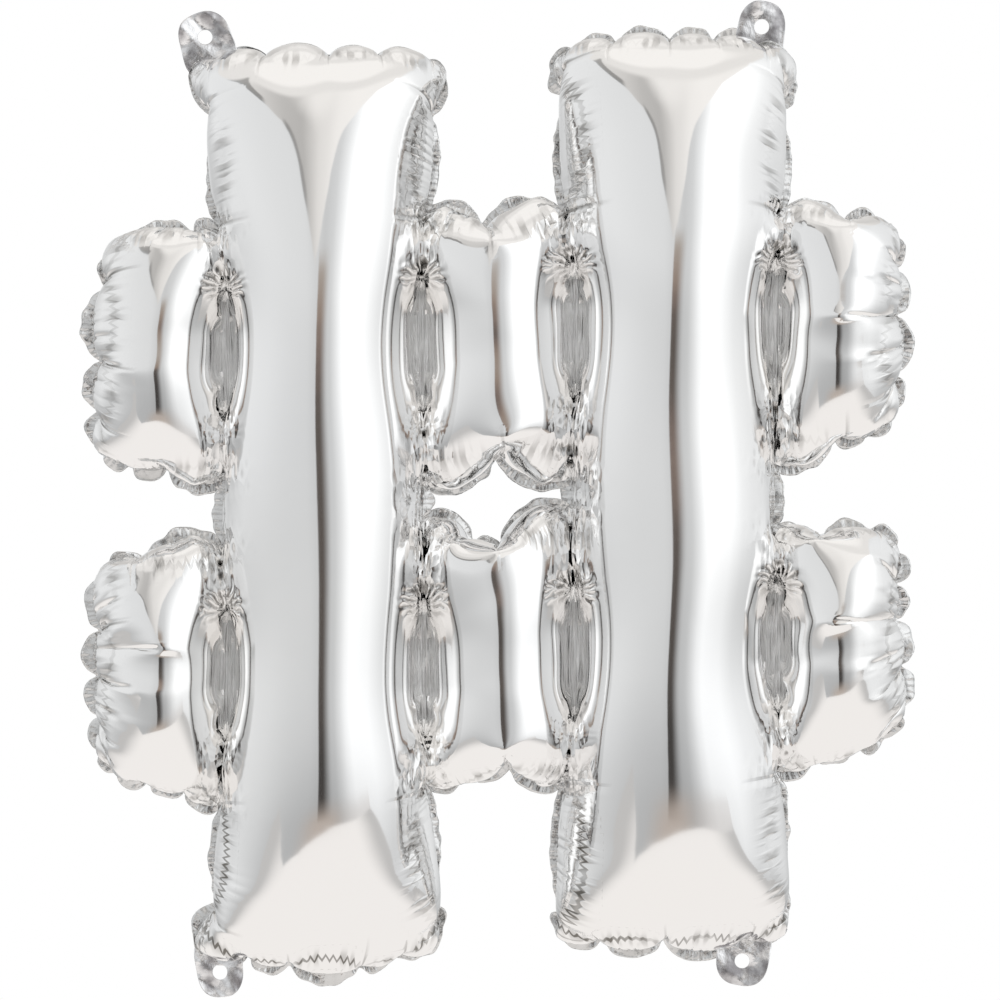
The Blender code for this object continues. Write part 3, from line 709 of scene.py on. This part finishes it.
# How crumpled the film is at each point, and the fans of creases at the tips of the lens welds. A crumple fades with
# the square of the distance from the line that joins a weld's tip to the nearest corner of the cut, from that corner
# or from the tip. A fan is a ring of the angle round a point just under the tip.
def crumples(points, crush):
    c, k = cutLines, crumple
    at = points[:, [0, 2]]
    weight, fan, fanned = crush.copy(), np.zeros(len(at)), np.zeros(len(at))
    for (sideX, sideZ, outer), _ in lensWelds:
        gx, middle, perTall = weldPlace(sideX, outer)
        for end, corner in ((1, c["barEdge"]), (-1, c["gapEdge"])):
            upper = end * sideZ > 0
            heights = sideZ * np.array([middle + end * flatCut["weldHalfTall"] * perTall, corner])
            tip, far = sampleAt(shown, sheet, np.array([gx, gx]), heights)[:, [0, 2]].astype(float)
            way = far - tip
            share = ((at - tip) @ way / (way @ way)).clip(0, 1)
            dx, dz = (at - tip).T
            for off, wide, most in ((at - tip - share[:, None] * way, k["line"], 1.0),
                                    (at - far, k["corner"], k["cornerShare"]),
                                    (at - tip, k["tip"], 1.0 if upper else k["lowerTip"])):
                weight = np.maximum(weight, most * np.exp(-(np.hypot(*off.T) / wide) ** 2))
            dz = dz + k["fanDrop"]
            angle = np.arctan2(dx, dz if upper else -dz)
            strong = np.exp(-((np.hypot(dx, dz) - k["fanReach"]) / k["fan"]) ** 2)
            strong = strong * (0.5 + 0.5 * np.cos(angle * k["fanTurn"])) * (1 if upper else k["lowerFan"])
            better = strong > fanned
            fan, fanned = np.where(better, angle / np.pi, fan), np.where(better, strong, fanned)
    return np.stack([fan, fanned], axis=-1), np.stack([weight, weight], axis=-1)


shown, used, faces, filmMaps, crush = sheetMesh()
points = shown[used]
filmMaps["fans"], filmMaps["crushed"] = crumples(points, crush)
chambers = [n[:-6] for n in nodeNames if n.endswith("_front")]
lift = np.array([0, sheetCut["gap"], 0])
meshPiece("front_sheet", points - lift, faces, filmMaterial, "film", [c + "_front" for c in chambers], filmMaps)
meshPiece("back_sheet", points * (1, -1, 1) + lift, faces[:, ::-1], filmMaterial, "film",
          [c + "_back" for c in chambers], filmMaps)
print("sheets: %d faces each" % len(faces))


marginCut = {
    "wide": 4.6, "cuspShare": 0.16, "thick": 0.16, "along": 0.6, "across": 7, "inwards": 0.18,
    "topShare": (0.3, 0.75), "topFrom": 152.0, "topFade": 14.0,  # narrower at the uprights' tops, left and right
    "sideShare": 0.72, "sideSpan": [112, 122, 150, 162],  # and along their free sides
    "ribEvery": 2.1, "ribHigh": 0.42, "curl": 1.0, "tilt": 1.5,
}


# A smooth wandering value along a closed path: sines that fit the path, near one wavelength, with seeded phases.
def slowWave(s, total, every, seed, count=9):
    rng = np.random.default_rng(seed)
    turns = np.maximum(1, np.round(total / every * rng.uniform(0.55, 1.45, count)))
    phase = rng.uniform(0, 2 * np.pi, count)
    return np.sin(2 * np.pi * s[:, None] / total * turns + phase).sum(axis=1) / np.sqrt(count)


# The blown seam read in order round an edge, with how far each point is up its scallop.
def seamPath(edge, outward):
    xy, high = [], []
    for k in range(len(edge)):
        run = edgeRun(edge, k)
        long = np.abs(run[1] - run[0]).sum()
        t = np.arange(0, 1 - 1e-6, sheet["step"] / long)
        grid = run[0] + t[:, None] * (run[1] - run[0])
        xy.append(sampleAt(shown, sheet, grid[:, 0], grid[:, 1])[:, [0, 2]])
        high.append(scallopPlaces(t, run, outward)[1])
    return np.concatenate(xy), np.concatenate(high)


# Closed-path average with a bell of the given width, on evenly spaced points.
def roundSmooth(values, s, total, width):
    n = len(values)
    freq = np.fft.rfftfreq(n, total / n)
    bell = np.exp(-2 * (np.pi * freq * width) ** 2)
    return np.fft.irfft(np.fft.rfft(values, axis=0) * (bell[:, None] if values.ndim > 1 else bell), n, axis=0)


# Faces of a band that closes both round itself and along its way, from its rows and columns of points.
def bandFaces(rows, cols, outward):
    i, j = np.meshgrid(np.arange(rows), np.arange(cols), indexing="ij")
    after, beside = (i + 1) % rows * cols, (j + 1) % cols
    a, b, c, d = i * cols + j, i * cols + beside, after + beside, after + j
    return np.stack([v.ravel() for v in ([a, d, c, b] if outward > 0 else [a, b, c, d])], axis=1)


# The sealed margin as a closed band: a thin profile, from just inside the seam to the trimmed edge, carried round
# the seam. It is widest at the middle of each scallop, ribbed across by sines that grow outwards, and curls a little.
def marginMesh(edge, outward, seed):
    m = marginCut
    xy, high = seamPath(edge, outward)
    gaps = np.hypot(*(np.roll(xy, -1, axis=0) - xy).T)
    total = gaps.sum()
    s0 = np.concatenate([[0], np.cumsum(gaps)])
    n = int(total / m["along"])
    s = np.arange(n) * total / n
    closed = np.concatenate([xy, xy[:1]])
    path = np.stack([np.interp(s, s0, closed[:, k]) for k in (0, 1)], axis=1)
    path = roundSmooth(path, s, total, 0.5)
    lobe = np.interp(s, s0, np.concatenate([high, high[:1]]))
    soft = roundSmooth(path, s, total, 2.2)
    way = np.roll(soft, -1, axis=0) - np.roll(soft, 1, axis=0)
    way /= np.hypot(*way.T)[:, None]
    out = np.stack([-way[:, 1], way[:, 0]], axis=1) * outward
    wide = m["wide"] * (m["cuspShare"] + (1 - m["cuspShare"]) * roundSmooth(lobe, s, total, 0.8))
    top = np.where(path[:, 0] < 0, *m["topShare"])
    wide = wide * (1 + (top - 1) * ((path[:, 1] - m["topFrom"]) / m["topFade"]).clip(0, 1))
    wide = wide * np.interp(np.abs(path[:, 1]), m["sideSpan"], [1, m["sideShare"], m["sideShare"], 1])
    wide = wide * (1 + 0.1 * slowWave(s, total, 9, seed))
    across = np.linspace(-m["inwards"], 1, m["across"])
    beat = 2 * np.pi * s * np.round(total / m["ribEvery"]) / total + 2.2 * slowWave(s, total, 12, seed + 1)
    rib = np.sin(beat) * (0.6 + 0.4 * slowWave(s, total, 7, seed + 2))
    curl = slowWave(s, total, 26, seed + 3)
    grow = across.clip(0)
    tilt = slowWave(s, total, 46, seed + 4) * lobe
    bent = (m["curl"] * curl[:, None] * grow + m["tilt"] * tilt[:, None]) * grow
    y = m["ribHigh"] * rib[:, None] * grow ** 0.7 + bent
    spread = path[:, None] + (across * wide[:, None])[..., None] * out[:, None]
    face = np.stack([spread[..., 0], y, spread[..., 1]], axis=-1)
    half = np.array([0, m["thick"] / 2, 0])
    loop = np.concatenate([face - half, face[:, ::-1] + half], axis=1)
    return loop.reshape(-1, 3), bandFaces(*loop.shape[:2], outward)


windowSeams = [n for n in nodeNames if n.startswith("seam_window")]
outerSeams = [n for n in nodeNames if n.startswith("seam_") and n not in windowSeams]
outerBand, windowBand = marginMesh(outerEdge, 1, 11), marginMesh(windowEdge, -1, 31)
meshPiece("outer_margin", *outerBand, marginMaterial, "seam", outerSeams)
meshPiece("window_margin", *windowBand, marginMaterial, "seam", windowSeams)
print("margins: %d and %d faces" % (len(outerBand[1]), len(windowBand[1])))


weldCut = {
    "rows": 110, "cols": 26, "thick": 0.2, "tuck": 1.12, "blunt": 0.012, "pleat": 0.45, "waves": 10,
    "spans": [(1.5, 4.5), (-2.5, 2.5), (0, 6.28), (0.4, 1)],  # turns, lean, phase and size of a wave
}


# One lens weld as a closed plate: a grid drawn to a lens shape, laid where the blown film's flat spot lies, with
# upright pleats that wander, deepest in the middle and fading to the tips.
def weldMesh(sideX, sideZ, outer, seed):
    w, f, c = weldCut, flatCut, cutLines
    v, u = np.linspace(-1, 1, w["rows"])[:, None], np.linspace(-1, 1, w["cols"])[None, :]
    perWide = (c["outerSide"] - c["innerSide"]) / f["uprightWide"]
    half = f["weldHalfWide"] * perWide * np.maximum(1 - v ** 2, w["blunt"]) * w["tuck"]
    middle, high, perTall = weldPlace(sideX, outer)
    gx = middle + u * half
    gz = sideZ * high + v * f["weldHalfTall"] * perTall + 0 * gx
    flat = sampleAt(shown, sheet, gx, gz)
    rng = np.random.default_rng(seed)
    y = np.zeros_like(gx)
    for _ in range(w["waves"]):
        turns, lean, phase, size = (rng.uniform(*span) for span in w["spans"])
        y += size * np.sin(np.pi * turns * u + lean * np.pi * v + phase)
    y *= w["pleat"] / 2.2 * (1 - u ** 4) * (1 - v ** 6)
    face = np.stack([flat[..., 0], y, flat[..., 2]], axis=-1)
    shell = np.stack([face - (0, w["thick"] / 2, 0), face + (0, w["thick"] / 2, 0)])
    n = np.arange(2 * y.size).reshape(2, *y.shape)
    front, back = np.stack([n[:, :-1, :-1], n[:, :-1, 1:], n[:, 1:, 1:], n[:, 1:, :-1]], axis=-1).reshape(2, -1, 4)
    rim = np.concatenate([n[:, 0, :-1], n[:, :-1, -1], n[:, -1, :0:-1], n[:, :0:-1, 0]], axis=1)
    after = np.roll(rim, -1, axis=1)
    wall = np.stack([rim[0], rim[1], after[1], after[0]], axis=1)
    return shell.reshape(-1, 3), np.concatenate([front, back[:, [0, 3, 2, 1]], wall])


for (sideX, sideZ, outer), _ in lensWelds:
    where = "left" if sideX < 0 else "right", "outer" if outer else "inner", "upper" if sideZ > 0 else "lower"
    name = "_".join(("weld", *where))
    plate = weldMesh(sideX, sideZ, outer, 40 + 4 * sideX + 2 * sideZ + outer)
    meshPiece(name + "_lens", *plate, weldMaterial, "weld", [name])
print("welds: %d" % len(lensWelds))


# Middle of the hole, half width, reach beyond the hole and back to the balloon, and degrees that the tab leans.
tabs = {
    "upper_left_tab": {"hole": (-113.9, 180.0), "half": 10.4, "reach": 9.8, "root": 13.5, "lean": 17, "seed": 3},
    "upper_right_tab": {"hole": (103.2, 184.0), "half": 9.4, "reach": 10.0, "root": 13.0, "lean": -8, "seed": 4},
    "lower_left_tab": {"hole": (-108.0, -184.6), "half": 9.2, "reach": 9.8, "root": 13.0, "lean": 6, "seed": 6},
    "lower_right_tab": {"hole": (95.6, -180.3), "half": 10.4, "reach": 9.6, "root": 13.0, "lean": -7, "seed": 8},
}
tabCut = {
    "hole": 2.9, "thick": 0.14, "around": 160, "rings": 22, "crowd": 1.2, "square": (2.5, 5.0),
    "curl": 1.3, "dent": 0.5, "forward": 1.2, "taper": 0.16, "taperFrom": 0.45,
}


# A hanging tab round its punched hole: rings that pass from the hole's circle to a rounded tongue that narrows
# outwards. Its height off the plane is a slow curl plus three wandering dents; a back face behind it closes it.
def tabMesh(t):
    c = tabCut
    turn = np.linspace(0, 2 * np.pi, c["around"], endpoint=False)
    grow = np.linspace(0, 1, c["rings"]) ** c["crowd"]
    cos, sin = np.cos(turn), np.sin(turn)
    up = np.where(sin > 0, t["reach"], t["root"])
    bend = np.where(sin > 0, *c["square"])
    outer = (np.abs(cos / t["half"]) ** bend + np.abs(sin / up) ** bend) ** (-1 / bend)
    radius = c["hole"] + grow[:, None] * (outer - c["hole"])
    x, z = radius * cos, radius * sin
    rng = np.random.default_rng(t["seed"])
    a = rng.uniform(0, 6.28, 8)
    free = ((z + t["root"]) / (t["root"] + t["reach"])).clip(0, 1)
    y = c["curl"] * free ** 1.3 * (np.sin(x / 4.2 + a[0]) + 0.5 * np.sin(x / 2.4 + z / 6 + a[1]))
    for k in range(3):
        y = y + c["dent"] * free * np.sin(x * np.cos(a[2 + k]) / 1.7 + z * np.sin(a[2 + k]) / 1.7 + a[5 + k])
    y = y - c["forward"] * free ** 2
    x = x * (1 - c["taper"] * (free - c["taperFrom"]) * grow[:, None])
    hx, hz = t["hole"]
    way = math.copysign(1, hz)
    lean = math.radians(t["lean"]) * way
    x, z = x * math.cos(lean) - z * math.sin(lean), x * math.sin(lean) + z * math.cos(lean)
    face = np.stack([hx + x, y, hz + way * z], axis=-1)
    half = np.array([0, c["thick"] / 2, 0])
    loop = np.concatenate([face - half, face[::-1] + half])
    return loop.reshape(-1, 3), bandFaces(*loop.shape[:2], way)


for name, t in tabs.items():
    meshPiece(name + "_film", *tabMesh(t), tabMaterial, "tab", [name])
print("tabs: %d" % len(tabs))


# What the foil mirrors, by degrees from the camera's side, rightwards: the brightness round the horizon, how high the
# ceiling's edge is, the ceiling's brightness, and dark marks along its edge. Then caps of the ceiling: brightness and
# the heights that they come in between.
studio = {
    "around": [(-180, 0.85), (-140, 0.7), (-100, 0.86), (-70, 0.84), (-40, 0.79), (-14, 0.76), (8, 0.62), (17, 0.7),
               (24, 0.9), (31, 1.14), (38, 1.28), (62, 1.2), (80, 0.98), (95, 0.9), (125, 0.85), (160, 0.7),
               (180, 0.85)],
    "edge": [(-180, 0.2), (-164, 0.4), (-145, 0.65), (-116, 0.88), (-66, 0.8), (-37, 0.65), (-25, 0.51), (-19, 0.39),
             (-16, 0.31), (-10, 0.21), (-4, 0.13), (2, 0.18), (8, 0.28), (17, 0.45), (28, 0.61), (40, 0.72),
             (78, 0.82), (116, 0.86), (145, 0.65), (164, 0.4), (180, 0.2)],
    "above": [(-180, 0.75), (-150, 0.6), (-110, 0.86), (-60, 0.8), (-36, 0.66), (-24, 0.54), (-13, 0.5), (-6, 0.66),
              (-1, 0.78), (5, 0.83), (12, 0.92), (24, 0.96), (110, 0.9), (150, 0.66), (180, 0.75)],
    "marks": [(-180, 0), (-74, 0), (-68, 0.8), (-38, 1), (-35, 0), (-25, 0), (-23, 1), (-13, 0.8), (-11, 0), (180, 0)],
    "zenith": (0.9, 0.3, 0.62), "overhead": (0.84, 0.8, 0.87), "lamp": (0.98, 0.91, 0.96),
    "below": 0.62, "belowFade": (-0.3, 0.12), "edgeSoft": 0.025, "markTone": 0.3, "markTall": (0.055, 0.075),
    "wallTint": (0.985, 0.995, 1.0, 1), "ceilingTint": (1.0, 0.975, 0.945, 1),
}


# Soft light from all round: a wall and a ceiling, each with its ring of brightness, and plain white behind the balloon
# for the camera.
def studioWorld():
    s, m = studio, Finish(bpy.data.worlds.new("studio"), "ShaderNodeOutputWorld")
    x, y, up = m.parts(m.node("ShaderNodeTexCoord").outputs["Generated"])
    turn = x.maths("ARCTAN2", y * -1.0) * (0.5 / math.pi) + 0.5

    def ring(name):
        stops = [((degrees + 180) / 360, (value, value, value, 1)) for degrees, value in s[name]]
        return m.value(m.node("ShaderNodeValToRGB", {"stops": stops}, Fac=turn).outputs[0])

    wall = ring("around") * (s["below"] + (1 - s["below"]) * m.step(up, *s["belowFade"]))
    over = up - ring("edge")
    lift = m.step(over, 0.0, s["edgeSoft"])
    tone = wall + lift * (ring("above") - wall)
    for height, (value, low, high) in ((over, s["zenith"]), (up, s["overhead"]), (up, s["lamp"])):
        tone = tone + m.step(height, low, high) * (value - tone)
    marked = ring("marks") * m.step(over, -0.004, 0.004) * (1.0 - m.step(over, *s["markTall"]))
    tone = tone + marked * (s["markTone"] - tone)
    tint = m.blend(lift, s["wallTint"], s["ceilingTint"])
    light = m.node("ShaderNodeBackground", None, Color=tint, Strength=tone).outputs[0]
    plain = m.node("ShaderNodeBackground", None, Color=(1, 1, 1, 1), Strength=1.0).outputs[0]
    seen = m.node("ShaderNodeLightPath").outputs["Is Camera Ray"]
    return m.close(m.node("ShaderNodeMixShader", None, i0=seen, i1=light, i2=plain))


# The floor, in metres: as the camera sees it, and as the foil mirrors it, cream near by and greyer far to either side.
floorCut = {
    "drop": -0.95, "seen": (0.57, 0.57, 0.58, 1), "near": (0.93, 0.9, 0.875, 1), "far": (0.56, 0.55, 0.54, 1),
    "middle": 0.2, "fade": (0.9, 2.4), "corners": [(-3, -3), (-1, -1.65), (3, -2.45), (3, 1.5), (-3, 1.5)],
}


def floorFinish():
    m = newFinish("floorMatt")
    return m.close(m.node("ShaderNodeBsdfPrincipled", None, Base_Color=floorCut["seen"], Roughness=0.9))


def mirroredFinish():
    f, m = floorCut, newFinish("floorMirrored")
    x = m.parts(m.where())[0]
    return m.close(m.glow(m.blend(m.step(abs(x - f["middle"]), *f["fade"]), f["near"], f["far"])))


# The soft shade at the foot of the far wall, which fades upwards and to the left, and is fainter on the right.
shadeCut = {
    "colour": (0.5, 0.43, 0.38, 1), "ends": [(-1, -1.66), (3, -2.46)], "soft": 0.05, "tall": 0.26,
    "left": (-0.95, -0.1), "right": (0.1, 0.9), "most": 0.9, "less": 0.6,
}


def edgeFinish():
    e, m = shadeCut, newFinish("edgeShade")
    x, _, z = m.parts(m.where())
    shade = m.step(x, *e["left"]) * (e["most"] - e["less"] * m.step(x, *e["right"]))
    shade = shade * (1.0 - m.step(z, floorCut["drop"] + e["soft"], floorCut["drop"] + e["tall"]))
    return m.glowWhere(shade, e["colour"])


# The dark gap beside the camera: warm and lighter at its top, near black at its foot, soft at its right edge and top.
gapCut = {
    "at": -2.6, "sides": (-0.6, 0.8), "foot": -1.1, "top": 0.4, "topFade": (0.2, 0.4),
    "left": (-0.22, -0.17), "right": (0.0, 0.52), "lean": 0.35, "leanFrom": -0.25,
    "stops": [(0.0, (0.06, 0.055, 0.052, 1)), (0.333, (0.06, 0.055, 0.052, 1)), (0.567, (0.1, 0.086, 0.077, 1)),
              (0.627, (0.11, 0.095, 0.085, 1)), (0.667, (0.2, 0.155, 0.135, 1)), (0.733, (0.3, 0.235, 0.195, 1)),
              (0.88, (0.4, 0.35, 0.31, 1)), (1.0, (0.5, 0.46, 0.42, 1))],
}


def gapFinish():
    g, m = gapCut, newFinish("gapDark")
    x, _, z = m.parts(m.where())
    up = (z - g["foot"]) * (1 / (g["top"] - g["foot"]))
    tone = m.node("ShaderNodeValToRGB", {"stops": g["stops"]}, Fac=up).outputs[0]
    aside = x - g["lean"] * (z - g["leanFrom"]).maths("MAXIMUM")
    shade = m.step(aside, *g["left"]) * (1.0 - m.step(aside, *g["right"])) * (1.0 - m.step(z, *g["topFade"]))
    return m.glowWhere(shade, tone)


# One flat card of the studio, which isn't part of the object: the floor itself, or a card that only the foil mirrors.
def studioCard(name, corners, material, mirrored=True):
    mesh = bpy.data.meshes.new(name)
    mesh.from_pydata(corners, [], [tuple(range(len(corners)))])
    mesh.materials.append(material)
    material.cycles.emission_sampling = "NONE"
    card = bpy.data.objects.new(name, mesh)
    scene.collection.objects.link(card)
    card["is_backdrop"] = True
    if mirrored:
        card.visible_camera = card.visible_shadow = card.visible_diffuse = False
    else:
        card.visible_glossy = False


# Corners of an upright card over a line on the ground.
def standing(ends, foot, top):
    (x, y), (xx, yy) = ends
    return [(x, y, foot), (xx, yy, foot), (xx, yy, top), (x, y, top)]


low = floorCut["drop"]
studioCard("floor", [(-9, -9, low), (9, -9, low), (9, 5.5, low), (-9, 5.5, low)], floorFinish(), mirrored=False)
studioCard("mirrored_floor", [(x, y, low + 0.01) for x, y in floorCut["corners"]], mirroredFinish())
studioCard("floor_edge", standing(shadeCut["ends"], low, low + shadeCut["tall"]), edgeFinish())
gapEnds = [(x, gapCut["at"]) for x in gapCut["sides"]]
studioCard("dark_gap", standing(gapEnds, gapCut["foot"], gapCut["top"]), gapFinish())
scene.world = studioWorld()
overhead = bpy.data.lights.new("overhead", "AREA")
overhead.shape, overhead.size, overhead.energy = "SQUARE", 3.0, 40.0
lamp = bpy.data.objects.new("overhead", overhead)
lamp.location = (0, 0, 2.2)
lamp.visible_glossy = False
scene.collection.objects.link(lamp)
print("studio: lit")

view = {"distance": 2.2, "frameWide": 0.39, "aimX": 0.00117, "aimZ": -0.18252}
cameraData = bpy.data.cameras.new("camera")
cameraData.lens = cameraData.sensor_width / view["frameWide"] * view["distance"]
camera = bpy.data.objects.new("camera", cameraData)
camera.location = (view["aimX"], -view["distance"], view["aimZ"])
camera.rotation_euler = (math.pi / 2, 0, 0)
scene.collection.objects.link(camera)
scene.camera = camera

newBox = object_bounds()
for name, box in (("CAD box", cadBox), ("box now", newBox)):
    print(name, [[round(v * 1000, 1) for v in corner] for corner in box])
